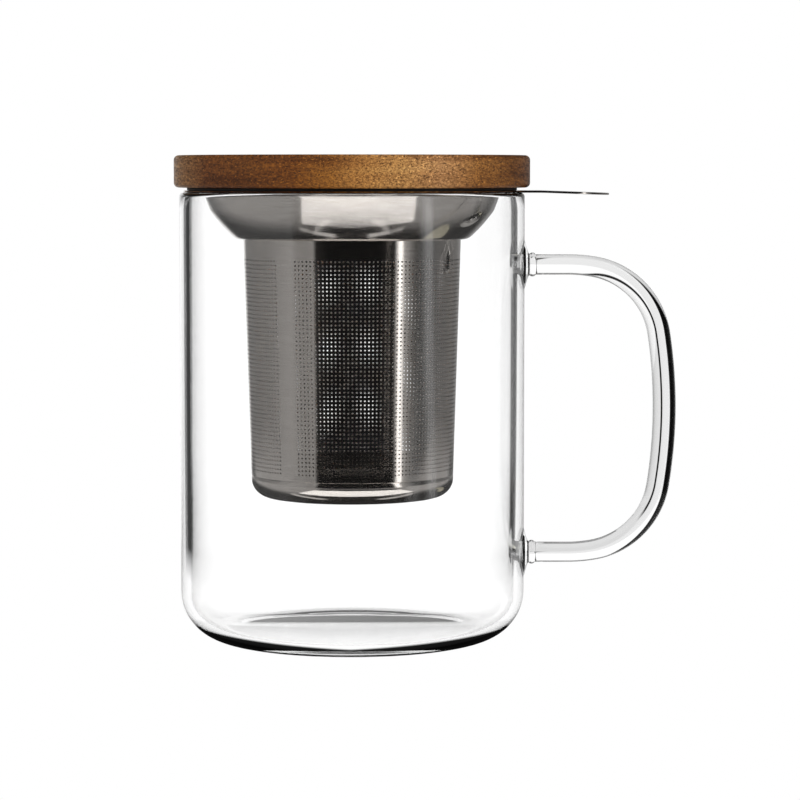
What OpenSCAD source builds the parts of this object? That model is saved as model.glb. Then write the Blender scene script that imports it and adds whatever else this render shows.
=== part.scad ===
// Lidded tea mug with a lift-out infuser: a clear glass mug with a bent glass handle,
// a steel infuser that hangs in the mouth by its flange, and a round wooden lid.
// Millimetres. Origin on the mug's axis at the level of its foot. +Z up, handle on +X.

/* [Mug] */
// Outer diameter of the glass body
mug_d = 85; // [78:1:96]
// Height of the glass rim above the foot
mug_h = 110.4; // [104:0.2:126]
// Thickness of the glass wall
wall_t = 2.4; // [1.8:0.1:2.8]
// Outer radius where the wall turns into the base
corner_r = 12; // [9:0.5:16]
// Thickness of the glass floor over the foot
floor_t = 2.7; // [2.4:0.1:5]
// How much thicker the glass is in its lower corner
corner_more = 0.6; // [0:0.1:2]
// Rise of the hollow under the base
punt_rise = 1.2; // [0.6:0.1:1.8]

/* [Handle] */
// Diameter of the glass rod
rod_d = 5.4; // [4.6:0.1:7]
// Reach of the handle out from the glass wall
handle_reach = 37.6; // [34:0.1:46]
// Height of the middle of the handle above the foot
handle_mid = 57; // [54:0.5:62]
// Distance between the centre lines of the two arms
arm_span = 71.4; // [62:0.2:76]
// Bend radius where each arm starts to droop
arm_bend_r = 37.5; // [30:0.5:45]
// Bend radius of the handle's two corners
corner_bend_r = 19.7; // [16:0.1:23]
// Diameter of the pads that join the arms to the wall
pad_d = 12; // [10:0.5:15]
// How far each pad stands out of the wall
pad_t = 1.2; // [0.8:0.1:2]

/* [Infuser] */
// How far the flange's edge lies inside the glass edge
flange_inset = 1; // [0.6:0.1:1.3]
// How far the bowl's mouth lies inside the glass edge
bowl_inset = 4.35; // [4.2:0.05:6]
// Thickness of the pressed steel sheet
sheet_t = 0.5; // [0.4:0.05:0.7]
// Depth of the pressed bowl from the flange down to its shelf
bowl_drop = 11.4; // [9:0.2:13]
// Depth of the strainer from the rim down to its bottom
basket_depth = 74.9; // [62:0.1:82]
// Lean of the strainer wall in degrees
tube_lean = 1.8; // [1:0.1:2.4]
// Thickness of the etched strainer sheet
foil_t = 0.4; // [0.3:0.05:0.6]
// Outer radius round the strainer's bottom edge
cup_r = 4.5; // [3.5:0.25:5.5]
// Length of the lifting tab out from the flange
tab_len = 21.8; // [16:0.2:28]
// Width of the lifting tab
tab_w = 22; // [16:1:28]
// How far the lifting tab runs level before it droops
tab_level = 5; // [2:0.25:8]
// Droop of the lifting tab in degrees
tab_droop = 2; // [1:0.25:3]

/* [Perforation] */
// Rows of holes up the strainer wall
hole_rows = 9; // [6:1:10]
// Holes in each row, counted all the way round
hole_cols = 26; // [20:2:28]
// Diameter of each hole in the wall
hole_d = 2; // [1.4:0.1:2.2]
// Direction of the plain seam round the strainer, in degrees from the handle
seam_turn = 234; // [180:1:270]

/* [Lid] */
// Thickness of the wooden lid
lid_t = 7.9; // [6:0.1:11]
// Overhang of the lid beyond the glass wall
lid_over = 1.3; // [0.6:0.1:3]
// Radius round the lid's edges
lid_edge_r = 1.2; // [0.8:0.1:2]
// Thickness of the flat gasket under the lid
gasket_t = 0.7; // [0.5:0.1:1.2]
// Depth of the lid's plug into the bowl
plug_depth = 5; // [4:0.25:6]
// Room between the plug's lower edge and the bowl
plug_gap = 0.5; // [0.3:0.05:1]
// Thickness of the ribbed seal round the plug
seal_wall_t = 1.6; // [1.2:0.1:2.2]

/* [Hidden] */
$fn = 96;
glass = [0.80, 0.90, 0.92, 0.35];
steel = [0.66, 0.66, 0.68];
wood = [0.60, 0.38, 0.19];
silicone = [0.10, 0.10, 0.11];

mug_r = mug_d / 2;
rim_flat = 0.4;                  // width left flat on top of the fire-polished rim
rim_edge_r = (wall_t - rim_flat) / 2;
inner_r = mug_r - wall_t;
inner_corner_r = corner_r - wall_t - corner_more;
foot_r = mug_r - corner_r;       // the wall's curve meets the foot here
foot_w = 2.5;                    // width of the flat ring that the mug stands on
punt_r = foot_r - foot_w;        // edge of the hollow under the base
punt_ball_r = (punt_r * punt_r + punt_rise * punt_rise) / (2 * punt_rise);

fit = 0.1;                       // room between pieces that are joined by spot welds or a push fit
seat_gap = 0.03;                 // room where one loose piece rests on another
lap = 0.05;                      // how far one stretch of rod or sheet reaches into the next
hair = 0.02;                     // bends are this much thicker, so that no two faces coincide

// Handle: half of it is a straight arm, two bends and half of the long side
arm_bend_turn = 9.6;
corner_end_turn = 81.1;
rod_bend_d = rod_d + hair;
side_r = (arm_span / 2 - arm_bend_r * (1 - cos(arm_bend_turn))
  - corner_bend_r * (cos(arm_bend_turn) - cos(corner_end_turn))) / cos(corner_end_turn);
side_x = mug_r + handle_reach - rod_d / 2;
arm_end_x = side_x - arm_bend_r * sin(arm_bend_turn)
  - corner_bend_r * (sin(corner_end_turn) - sin(arm_bend_turn))
  - side_r * (1 - sin(corner_end_turn));
corner_x = arm_end_x + (arm_bend_r - corner_bend_r) * sin(arm_bend_turn);
corner_z = arm_span / 2 - arm_bend_r + (arm_bend_r - corner_bend_r) * cos(arm_bend_turn);
pad_root = 1;                    // depth below the wall's surface where the arms start, cut off later
pad_rim_t = 0.25;                // how far the pad's edge stands out of the wall
bead_r = rod_d / 2 + 0.3;        // bead where the hot rod was pressed on
bead_edge_r = 0.7;
bead_gap = 0.8;

// Bowl: bends and arc of the sheet's middle line
lip_bend_r = 1.2;
lip_turn = 62;
shelf_turn = 42;
shelf_bend_r = 2.5;
neck_bend_r = 0.6;
bend_t = sheet_t + hair;
bowl_arc_r = (bowl_drop - lip_bend_r * (1 - cos(lip_turn)) - shelf_bend_r * (1 - cos(shelf_turn)))
  / (cos(shelf_turn) - cos(lip_turn));
bowl_run = lip_bend_r * sin(lip_turn) + bowl_arc_r * (sin(lip_turn) - sin(shelf_turn))
  + shelf_bend_r * sin(shelf_turn);
flange_r = mug_r - flange_inset;
flange_in_r = mug_r - bowl_inset;
flange_z = mug_h + seat_gap;      // underside of the flange
flange_mid_z = flange_z + sheet_t / 2;
shelf_r = flange_in_r - bowl_run;
shelf_z = flange_z - bowl_drop;  // underside of the shelf
shelf_edge = 0.7;                // how far the flat shelf stands out past the strainer wall
neck_h = 3.4;
tab_root_x = sqrt(flange_r * flange_r - tab_w * tab_w / 4);  // where the tab leaves the flange

// Strainer wall, a slightly tapered tube, and the cup that closes it
tube_top_r = shelf_r - shelf_edge;
cup_z = mug_h - basket_depth;
cup_wall_h = 1;                  // straight wall of the cup above its rounded edge
tube_low_z = cup_z + cup_r + cup_wall_h;
tube_h = shelf_z - tube_low_z;
tube_low_r = tube_top_r - tube_h * tan(tube_lean);
lip_h = 3;                       // lip of the cup inside the strainer wall
lip_root = 0.8;                  // height of the thick band that carries the lip
hole_margin = 2.2;               // from the lip or the neck to the middle of the nearest holes
hole_low_z = tube_low_z + lip_h + hole_margin;
hole_pitch = (tube_h - lip_h - neck_h - 2 * hole_margin) / (hole_rows - 1);
col_turn = 360 / hole_cols;
drain_step = 6;                  // spacing of the drain rings in the cup's floor
drain_rings = 2;

// Lid
lid_r = mug_r + lid_over;
gasket_z = flange_z + sheet_t + seat_gap;
lid_z = gasket_z + gasket_t;
gasket_inset = 0.9;              // how far the gasket's edge lies inside the flange's edge
plug_z = lid_z - plug_depth;
plug_turn = acos((flange_mid_z - plug_z - lip_bend_r * (1 - cos(lip_turn))) / bowl_arc_r
  + cos(lip_turn));              // steepness of the bowl beside the plug's lower edge
plug_r = flange_in_r - lip_bend_r * sin(lip_turn)
  - bowl_arc_r * (sin(lip_turn) - sin(plug_turn)) - sheet_t / 2 / sin(plug_turn) - plug_gap;
boss_r = plug_r - seal_wall_t;
rib_r = 0.5;
rib_low = 1.2;                   // height of the lower rib above the plug's end
rib_step = 1.8;

// Piece to show

// A half outline: a block with its lower outer corner rounded
module turned_block(r, h, corner) intersection() {
  square([r, h]);
  union() {
    square([r - corner, h]);
    translate([0, corner]) square([r, h]);
    translate([r - corner, corner]) circle(corner);
  }
}

// A pie slice from straight down, turning towards +X
module slice(r, turn) {
  polygon([[0, 0], [0, -r], [r * tan(turn / 2), -r], [r * sin(turn), -r * cos(turn)]]);
}

// A straight stretch of sheet; what follows starts at its end
module run(len, t) {
  translate([-lap, -t / 2]) square([len + 2 * lap, t]);
  translate([len, 0]) children();
}

// A bend of sheet round a centre on its left; what follows starts at its end.
// A stretch whose ends reach a little into its neighbours has reach above 0.
module bend(r, turn, t, reach = 0) {
  more = reach / r * 180 / PI;
  translate([0, r]) rotate(-more) intersection() {
    difference() {
      circle(r + t / 2);
      circle(r - t / 2);
    }
    slice(2 * r + t, turn + 2 * more);
  }
  translate([r * sin(turn), r * (1 - cos(turn))]) rotate(turn) children();
}

// The same bend to the right
module bend_back(r, turn, t, reach = 0) {
  mirror([0, 1]) bend(r, turn, t, reach) mirror([0, 1]) children();
}

module glass_body() color(glass)
  rotate_extrude() difference() {
    turned_block(mug_r, mug_h, corner_r);
    translate([0, floor_t]) turned_block(inner_r, mug_h, inner_corner_r);
    // the hollow under the base
    translate([0, punt_rise - punt_ball_r]) circle(punt_ball_r, $fn = 720);
    // the two rounded edges of the rim
    translate([mug_r - rim_edge_r, mug_h - rim_edge_r]) rim_corner();
    translate([inner_r + rim_edge_r, mug_h - rim_edge_r]) mirror([1, 0]) rim_corner();
  }

// What is taken off a square corner to leave it round
module rim_corner() difference() {
  square(rim_edge_r + 1);
  circle(rim_edge_r);
}

// A stretch of rod round a centre, between two angles measured up from +X
module rod_arc(r, low, high, thick) rotate([90, 0, 0])
  rotate_extrude(angle = high - low, start = low) translate([r, 0]) circle(thick / 2);

// One arm with its pad and the two bends that lead to the side
module half_handle() {
  more = lap / corner_bend_r * 180 / PI;
  translate([0, 0, arm_span / 2]) {
    rotate([0, 90, 0]) {
      translate([0, 0, mug_r - pad_root])
        cylinder(h = arm_end_x - mug_r + pad_root + lap, r = rod_d / 2);
      pad();
    }
    translate([arm_end_x, 0, -arm_bend_r]) rod_arc(arm_bend_r, 90 - arm_bend_turn, 90, rod_bend_d);
  }
  translate([corner_x, 0, corner_z])
    rod_arc(corner_bend_r, 90 - corner_end_turn - more, 90 - arm_bend_turn + more, rod_d);
}

// A flared pad of glass and the bead beside it, along +Z from the mug's axis
module pad() {
  translate([0, 0, mug_r - pad_root]) rotate_extrude()
    polygon([[0, 0], [pad_d / 2, 0], [pad_d / 2, pad_root + pad_rim_t],
      [rod_d / 2 - lap, pad_root + pad_t], [0, pad_root + pad_t]]);
  translate([0, 0, mug_r + pad_t + bead_gap]) rotate_extrude()
    translate([bead_r - bead_edge_r, 0]) circle(bead_edge_r);
}

module glass_handle() color(glass)
  translate([0, 0, handle_mid]) difference() {
    union() {
      half_handle();
      mirror([0, 0, 1]) half_handle();
      translate([side_x - side_r, 0, 0])
        rod_arc(side_r, corner_end_turn - 90, 90 - corner_end_turn, rod_bend_d);
    }
    translate([0, 0, -mug_h]) cylinder(h = 2 * mug_h, r = mug_r);
  }

// Flange, bowl, shelf and neck are one pressed sheet
module collar_sheet() rotate_extrude()
  translate([flange_r, flange_mid_z]) rotate(180)
    run(flange_r - flange_in_r, sheet_t)
    bend(lip_bend_r, lip_turn, bend_t)
    bend_back(bowl_arc_r, lip_turn - shelf_turn, sheet_t, lap)
    bend_back(shelf_bend_r, shelf_turn, bend_t)
    run(shelf_edge + foil_t + fit + sheet_t / 2 - neck_bend_r, sheet_t)
    bend(neck_bend_r, 90 - tube_lean, bend_t)
    run(neck_h, sheet_t);

module tab_outline() {
  translate([0, -tab_w / 2])
    square([flange_r + tab_len - tab_w / 2, tab_w]);
  translate([flange_r + tab_len - tab_w / 2, 0]) circle(tab_w / 2);
}

// The tab is level with the flange up to its fold line outside the glass, then droops
module tab() {
  fold_x = flange_r + tab_level;
  tip = tab_len - tab_level;
  drop = tip * tan(tab_droop);
  intersection() {
    translate([0, tab_w, flange_z]) rotate([90, 0, 0]) linear_extrude(2 * tab_w)
      polygon([[tab_root_x - 1, 0], [fold_x, 0], [fold_x + tip, -drop],
        [fold_x + tip, sheet_t - drop], [fold_x, sheet_t], [tab_root_x - 1, sheet_t]]);
    translate([0, 0, flange_z - drop - 1]) linear_extrude(drop + sheet_t + 2) tab_outline();
  }
}

module infuser_collar() color(steel) {
  difference() {
    collar_sheet();
    translate([tab_root_x, -tab_w / 2, flange_z - 1]) cube([tab_w, tab_w, sheet_t + 2]);
  }
  tab();
}

module strainer_tube() color(steel) difference() {
  translate([0, 0, tube_low_z]) cylinder(h = tube_h, r1 = tube_low_r, r2 = tube_top_r);
  translate([0, 0, tube_low_z - 1])
    cylinder(h = tube_h + 2, r1 = tube_low_r - foil_t - tan(tube_lean),
      r2 = tube_top_r - foil_t + tan(tube_lean));
  // every row skips the plain seam
  for (row = [0 : hole_rows - 1]) for (col = [1 : hole_cols - 1])
    rotate([0, 0, seam_turn + col * col_turn])
      translate([tube_low_r - 3, 0, hole_low_z + row * hole_pitch])
        rotate([0, 90, 0]) cylinder(h = 8, r = hole_d / 2);
}

module strainer_base() color(steel) difference() {
  union() {
    rotate_extrude() translate([0, cup_z]) difference() {
      turned_block(tube_low_r, cup_r + cup_wall_h, cup_r);
      translate([0, sheet_t])
        turned_block(tube_low_r - sheet_t, cup_r + cup_wall_h, cup_r - sheet_t);
    }
    cup_lip();
  }
  for (ring = [0 : drain_rings]) for (k = [0 : max(1, 6 * ring) - 1])
    rotate([0, 0, k * 60 / max(1, ring)])
      translate([ring * drain_step, 0, cup_z - 1]) cylinder(h = sheet_t + 2, r = hole_d / 2);
}

// The lip that stands inside the strainer wall, on a thick band at the cup's edge
module cup_lip() rotate_extrude() {
  lip_low_r = tube_low_r - foil_t - fit;
  lip_lean = lip_h * tan(tube_lean);
  translate([lip_low_r - sheet_t, tube_low_z - lip_root])
    square([tube_low_r - lip_low_r + sheet_t / 2, lip_root]);
  polygon([[lip_low_r - sheet_t, tube_low_z - lip_root / 2], [lip_low_r, tube_low_z - lip_root / 2],
    [lip_low_r, tube_low_z], [lip_low_r + lip_lean, tube_low_z + lip_h],
    [lip_low_r + lip_lean - sheet_t, tube_low_z + lip_h], [lip_low_r - sheet_t, tube_low_z]]);
}

module lid_disc() color(wood) {
  rotate_extrude() translate([0, lid_z]) {
    square([lid_r - lid_edge_r, lid_t]);
    translate([0, lid_edge_r]) square([lid_r, lid_t - 2 * lid_edge_r]);
    translate([lid_r - lid_edge_r, lid_edge_r]) circle(lid_edge_r);
    translate([lid_r - lid_edge_r, lid_t - lid_edge_r]) circle(lid_edge_r);
  }
  translate([0, 0, plug_z]) cylinder(h = plug_depth + 1, r = boss_r);
}

// A flat ring that lies between the lid and the flange
module lid_gasket() color(silicone) rotate_extrude()
  translate([plug_r + fit, gasket_z]) square([flange_r - gasket_inset - plug_r - fit, gasket_t]);

module lid_seal() color(silicone) rotate_extrude() {
  translate([boss_r + fit, plug_z]) square([plug_r - boss_r - fit, plug_depth]);
  for (rib = [0, 1])
    translate([plug_r, plug_z + rib_low + rib * rib_step]) circle(rib_r);
}

glass_body();
glass_handle();
infuser_collar();
strainer_tube();
strainer_base();
lid_disc();
lid_gasket();
lid_seal();
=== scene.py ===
# %% [markdown]
# # A glass tea mug with a steel infuser and a wooden lid
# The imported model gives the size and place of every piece. This script models each piece again with a finer
# surface, gives it its material, and sets up the studio that shows clear glass at its best: white behind the
# mug and dark just beside it, because glass draws its own outline with whatever stands beside the white.
# Lengths are written in millimetres and turned to metres by one factor.

# %% Load the frame
import math

import bmesh
import bpy
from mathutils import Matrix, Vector


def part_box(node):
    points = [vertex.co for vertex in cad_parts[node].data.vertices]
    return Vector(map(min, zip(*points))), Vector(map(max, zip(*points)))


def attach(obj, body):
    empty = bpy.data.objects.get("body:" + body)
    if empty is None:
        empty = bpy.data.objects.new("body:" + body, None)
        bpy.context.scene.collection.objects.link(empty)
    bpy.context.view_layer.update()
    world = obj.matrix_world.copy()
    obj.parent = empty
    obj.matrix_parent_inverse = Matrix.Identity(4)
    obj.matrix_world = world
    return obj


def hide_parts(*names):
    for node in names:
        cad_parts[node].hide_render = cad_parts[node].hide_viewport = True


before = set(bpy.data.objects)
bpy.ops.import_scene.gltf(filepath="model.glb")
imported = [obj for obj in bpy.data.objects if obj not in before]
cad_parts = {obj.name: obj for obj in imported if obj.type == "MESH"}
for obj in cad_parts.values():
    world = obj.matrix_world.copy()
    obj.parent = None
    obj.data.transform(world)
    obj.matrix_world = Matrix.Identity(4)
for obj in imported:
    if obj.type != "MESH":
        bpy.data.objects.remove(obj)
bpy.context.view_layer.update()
MM = 0.001


# %% [markdown]
# ## The camera
# The photograph was taken a little above the rim, with a long lens, so the lid shows only its edge while
# the foot shows a slim ellipse. The distance and the tilt were worked out from those two ellipses.

# %% Camera
CAMERA_DISTANCE = 730
CAMERA_SIDE = 11.8
CAMERA_HEIGHT = 115.7
CAMERA_TILT = 4.43
CAMERA_LENS = 133.0

bpy.ops.object.camera_add(
    location=(CAMERA_SIDE * MM, -CAMERA_DISTANCE * MM, CAMERA_HEIGHT * MM),
    rotation=(math.radians(90 - CAMERA_TILT), 0, 0),
)
camera = bpy.context.object
camera.data.lens = CAMERA_LENS
camera.data.sensor_width = 36
bpy.context.scene.camera = camera
bpy.context.scene.view_settings.view_transform = "Standard"
print("camera at", list(camera.location))

# %% [markdown]
# ## Working by hand, in code
# Each helper does what a hand does in edit mode: start from a primitive, select by place, extrude, spin,
# merge. Everything is deselected first, because an operator acts on all that is selected.


# %% Selecting
def deselect_all():
    if bpy.context.object and bpy.context.object.mode != "OBJECT":
        bpy.ops.object.mode_set(mode="OBJECT")
    bpy.ops.object.select_all(action="DESELECT")


def pick(piece):
    deselect_all()
    piece.select_set(True)
    bpy.context.view_layer.objects.active = piece


def edit(piece, what="VERT"):
    pick(piece)
    bpy.ops.object.mode_set(mode="EDIT")
    bpy.ops.mesh.select_mode(type=what)


def edit_all(piece, what="VERT"):
    edit(piece, what)
    bpy.ops.mesh.select_all(action="SELECT")


def leave_edit():
    bpy.ops.object.mode_set(mode="OBJECT")


def select_where(piece, test):
    """In edit mode: select the vertices whose place in millimetres passes the test, with what lies between."""
    bpy.ops.mesh.select_mode(type="VERT")
    bpy.ops.mesh.select_all(action="DESELECT")
    shape = bmesh.from_edit_mesh(piece.data)
    for vertex in shape.verts:
        vertex.select = bool(test(*(vertex.co / MM)))
    shape.select_flush(True)
    bmesh.update_edit_mesh(piece.data)
    return sum(vertex.select for vertex in shape.verts)


# %% Making and closing shapes
def start_from_point(name, place):
    """A plane merged to one vertex, ready to be extruded."""
    deselect_all()
    bpy.ops.mesh.primitive_plane_add(size=1, location=(0, 0, 0))
    piece = bpy.context.object
    piece.name = name
    edit_all(piece)
    bpy.ops.mesh.merge(type="CENTER")
    bpy.ops.transform.translate(value=place)
    return piece


def trace(name, points):
    """Extrude one vertex along a list of (x, y, z) points in millimetres."""
    piece = start_from_point(name, [v * MM for v in points[0]])
    for a, b in zip(points, points[1:]):
        step = [(q - p) * MM for p, q in zip(a, b)]
        bpy.ops.mesh.extrude_vertices_move(TRANSFORM_OT_translate={"value": step})
    return piece


def close_up(piece, doubles=0.002):
    """Merge what meets and turn all faces outwards."""
    edit_all(piece)
    bpy.ops.mesh.remove_doubles(threshold=doubles * MM)
    bpy.ops.mesh.normals_make_consistent(inside=False)
    leave_edit()


def smooth(piece, angle=35):
    pick(piece)
    bpy.ops.object.shade_smooth_by_angle(angle=math.radians(angle))


def turn_on_lathe(name, outline, steps=192):
    """Spin an outline of (radius, height) points in millimetres round the mug's axis."""
    piece = trace(name, [(r, 0, z) for r, z in outline])
    bpy.ops.mesh.select_all(action="SELECT")
    bpy.ops.mesh.spin(steps=steps, angle=math.tau, center=(0, 0, 0), axis=(0, 0, 1))
    close_up(piece)
    return piece


def arc(centre_r, centre_z, radius, start, end, steps):
    """Points on an arc, angles in degrees up from the outward direction."""
    out = []
    for i in range(steps + 1):
        a = math.radians(start + (end - start) * i / steps)
        out.append((centre_r + radius * math.cos(a), centre_z + radius * math.sin(a)))
    return out


# %% Finishing a piece
def apply_modifier(piece, kind, **settings):
    pick(piece)
    modifier = piece.modifiers.new(kind.lower(), kind)
    for key, value in settings.items():
        setattr(modifier, key, value)
    bpy.ops.object.modifier_apply(modifier=modifier.name)


def dress(piece, *materials):
    piece.data.materials.clear()
    for material in materials:
        piece.data.materials.append(material)


def finish_piece(piece, body, nodes):
    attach(piece, body)
    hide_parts(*nodes)
    piece.data.calc_loop_triangles()
    size = [round(d / MM, 1) for d in piece.dimensions]
    print(piece.name, "size mm", size, "triangles", len(piece.data.loop_triangles))
    deselect_all()


# %% [markdown]
# ## Materials
# Each is named for the real material and how its surface was made. Colours are sRGB hex values, turned to
# linear ones. Grain and scratches have real sizes: a pattern's scale is one over its size in metres.


# %% Material helpers
def linear(hex_value):
    parts = [int(hex_value[i : i + 2], 16) / 255 for i in (1, 3, 5)]
    return [c / 12.92 if c <= 0.04045 else ((c + 0.055) / 1.055) ** 2.4 for c in parts] + [1]


def new_material(name):
    material = bpy.data.materials.new(name)
    material.use_nodes = True
    material.node_tree.nodes.clear()
    return material


def add_node(owner, kind, settings=None, links=None, inputs=None, stops=None):
    """One node with its settings, input values, links from other nodes' outputs and, on a ramp, its stops."""
    node = owner.node_tree.nodes.new(kind)
    for key, value in (settings or {}).items():
        setattr(node, key, value)
    for key, value in (inputs or {}).items():
        node.inputs[key].default_value = value
    for key, source in (links or {}).items():
        owner.node_tree.links.new(source, node.inputs[key])
    for i, (position, colour) in enumerate(stops or []):
        element = node.color_ramp.elements[i] if i < 2 else node.color_ramp.elements.new(position)
        element.position = position
        element.color = linear(colour) if isinstance(colour, str) else [colour, colour, colour, 1]
    return node


def finish_material(material, shader):
    add_node(material, "ShaderNodeOutputMaterial", links={"Surface": shader.outputs[0]})
    return material


def noise_of_size(material, sizes_mm, detail, roughness=0.5, place=None):
    """Soft noise with blots of these sizes in millimetres."""
    if place is None:
        place = add_node(material, "ShaderNodeTexCoord").outputs["Object"]
    scale = [1 / (size * MM) for size in sizes_mm]
    stretched = add_node(material, "ShaderNodeMapping", inputs={"Scale": scale}, links={"Vector": place})
    return add_node(
        material,
        "ShaderNodeTexNoise",
        inputs={"Scale": 1.0, "Detail": detail, "Roughness": roughness},
        links={"Vector": stretched.outputs["Vector"]},
    )


# %% [markdown]
# ### Borosilicate glass, mould-blown and fire-polished
# The glass is clear and colourless with an index of 1.474. Blowing leaves long waves in the wall, only a few
# hundredths of a millimetre deep, which the eye reads as a slight tremble along the dark outlines.


# %% Glass
GLASS_IOR = 1.474


def borosilicate_glass(name, wave_mm, wave_depth):
    material = new_material(name)
    waves = noise_of_size(material, wave_mm, 1.0, 0.4)
    tremble = add_node(
        material,
        "ShaderNodeBump",
        inputs={"Strength": 1.0, "Distance": wave_depth * MM},
        links={"Height": waves.outputs["Fac"]},
    )
    shader = add_node(
        material,
        "ShaderNodeBsdfPrincipled",
        inputs={"Base Color": linear("#fefefe"), "Roughness": 0.0, "IOR": GLASS_IOR, "Transmission Weight": 1.0},
        links={"Normal": tremble.outputs["Normal"]},
    )
    return finish_material(material, shader)


# %% Fused joint
def fused_joint():
    """Where two pieces of glass were melted into one there is no surface, so light goes straight on."""
    material = new_material("borosilicate_glass_fused_joint")
    shader = add_node(material, "ShaderNodeBsdfTransparent")
    return finish_material(material, shader)


# %% [markdown]
# ### Stainless steel, polished sheet
# Rolled and polished 18/10 steel reflects the studio almost like a mirror, in a slightly warm grey. Polishing
# leaves hairlines a few hundredths of a millimetre wide that soften the reflections unevenly; they are drawn
# 0.12 mm wide, as coarse as they need to be to show. The pressed sheet is never quite flat. Inside the
# strainer the sheet is left as the etching makes it, pitted and matt.


# %% Steel
BUCKLE_MM = (9, 9, 14)


def stainless_steel(name, hairline_mm, buckle_depth, shine=(0.05, 0.12), pitted=0.0):
    material = new_material(name)
    hairlines = noise_of_size(material, hairline_mm, 3.0, 0.6)
    roughness = add_node(
        material,
        "ShaderNodeMapRange",
        inputs={"From Min": 0.3, "From Max": 0.7, "To Min": shine[0], "To Max": shine[1]},
        links={"Value": hairlines.outputs["Fac"]},
    )
    tint = add_node(
        material,
        "ShaderNodeValToRGB",
        links={"Fac": hairlines.outputs["Fac"]},
        stops=[(0.3, "#bcb6b0"), (0.7, "#cdc8c3")],
    )
    buckles = noise_of_size(material, BUCKLE_MM, 2.0)
    buckled = add_node(
        material,
        "ShaderNodeBump",
        inputs={"Strength": 1.0, "Distance": buckle_depth * MM},
        links={"Height": buckles.outputs["Fac"]},
    )
    shader = add_node(
        material,
        "ShaderNodeBsdfPrincipled",
        inputs={"Metallic": 1.0},
        links={
            "Base Color": tint.outputs["Color"],
            "Roughness": roughness.outputs["Result"],
            "Normal": buckled.outputs["Normal"],
        },
    )
    if pitted:
        pits = add_node(material, "ShaderNodeBsdfDiffuse", inputs={"Color": linear("#ece8e4")})
        shader = add_node(
            material, "ShaderNodeMixShader", inputs={0: pitted}, links={1: shader.outputs[0], 2: pits.outputs[0]}
        )
    return finish_material(material, shader)


# %% [markdown]
# ### Acacia, turned and oiled
# Acacia is a hard brown wood with golden streaks. Its grain runs from front to back, so the front of the rim
# shows end grain: pores and golden flecks as dots, and the growth rings as faint level lines. Across the lid the
# colour also carries painted light and shade: a broad golden band right of the middle, as if lit from the front
# right, darker painted shade on either side of it, and a lighter painted sheen at the left edge.


# %% Wood
BOARD_HALF = 43.0
# Colour across the lid from left to right, in millimetres: wood colour with painted light and shade, golden right
# of the middle, darker to both sides, with a painted sheen at the left edge.
BOARD_COLOURS_WITH_PAINTED_LIGHT = (
    (-43, "#977348"), (39, "#794c1c"), (-34, "#734419"), (-24, "#784816"), (-13, "#844f17"), (-4.5, "#9d6625"),
    (4, "#bf8947"), (13, "#cf9d5c"), (21.5, "#c89762"), (30, "#a16d32"),
)


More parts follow.
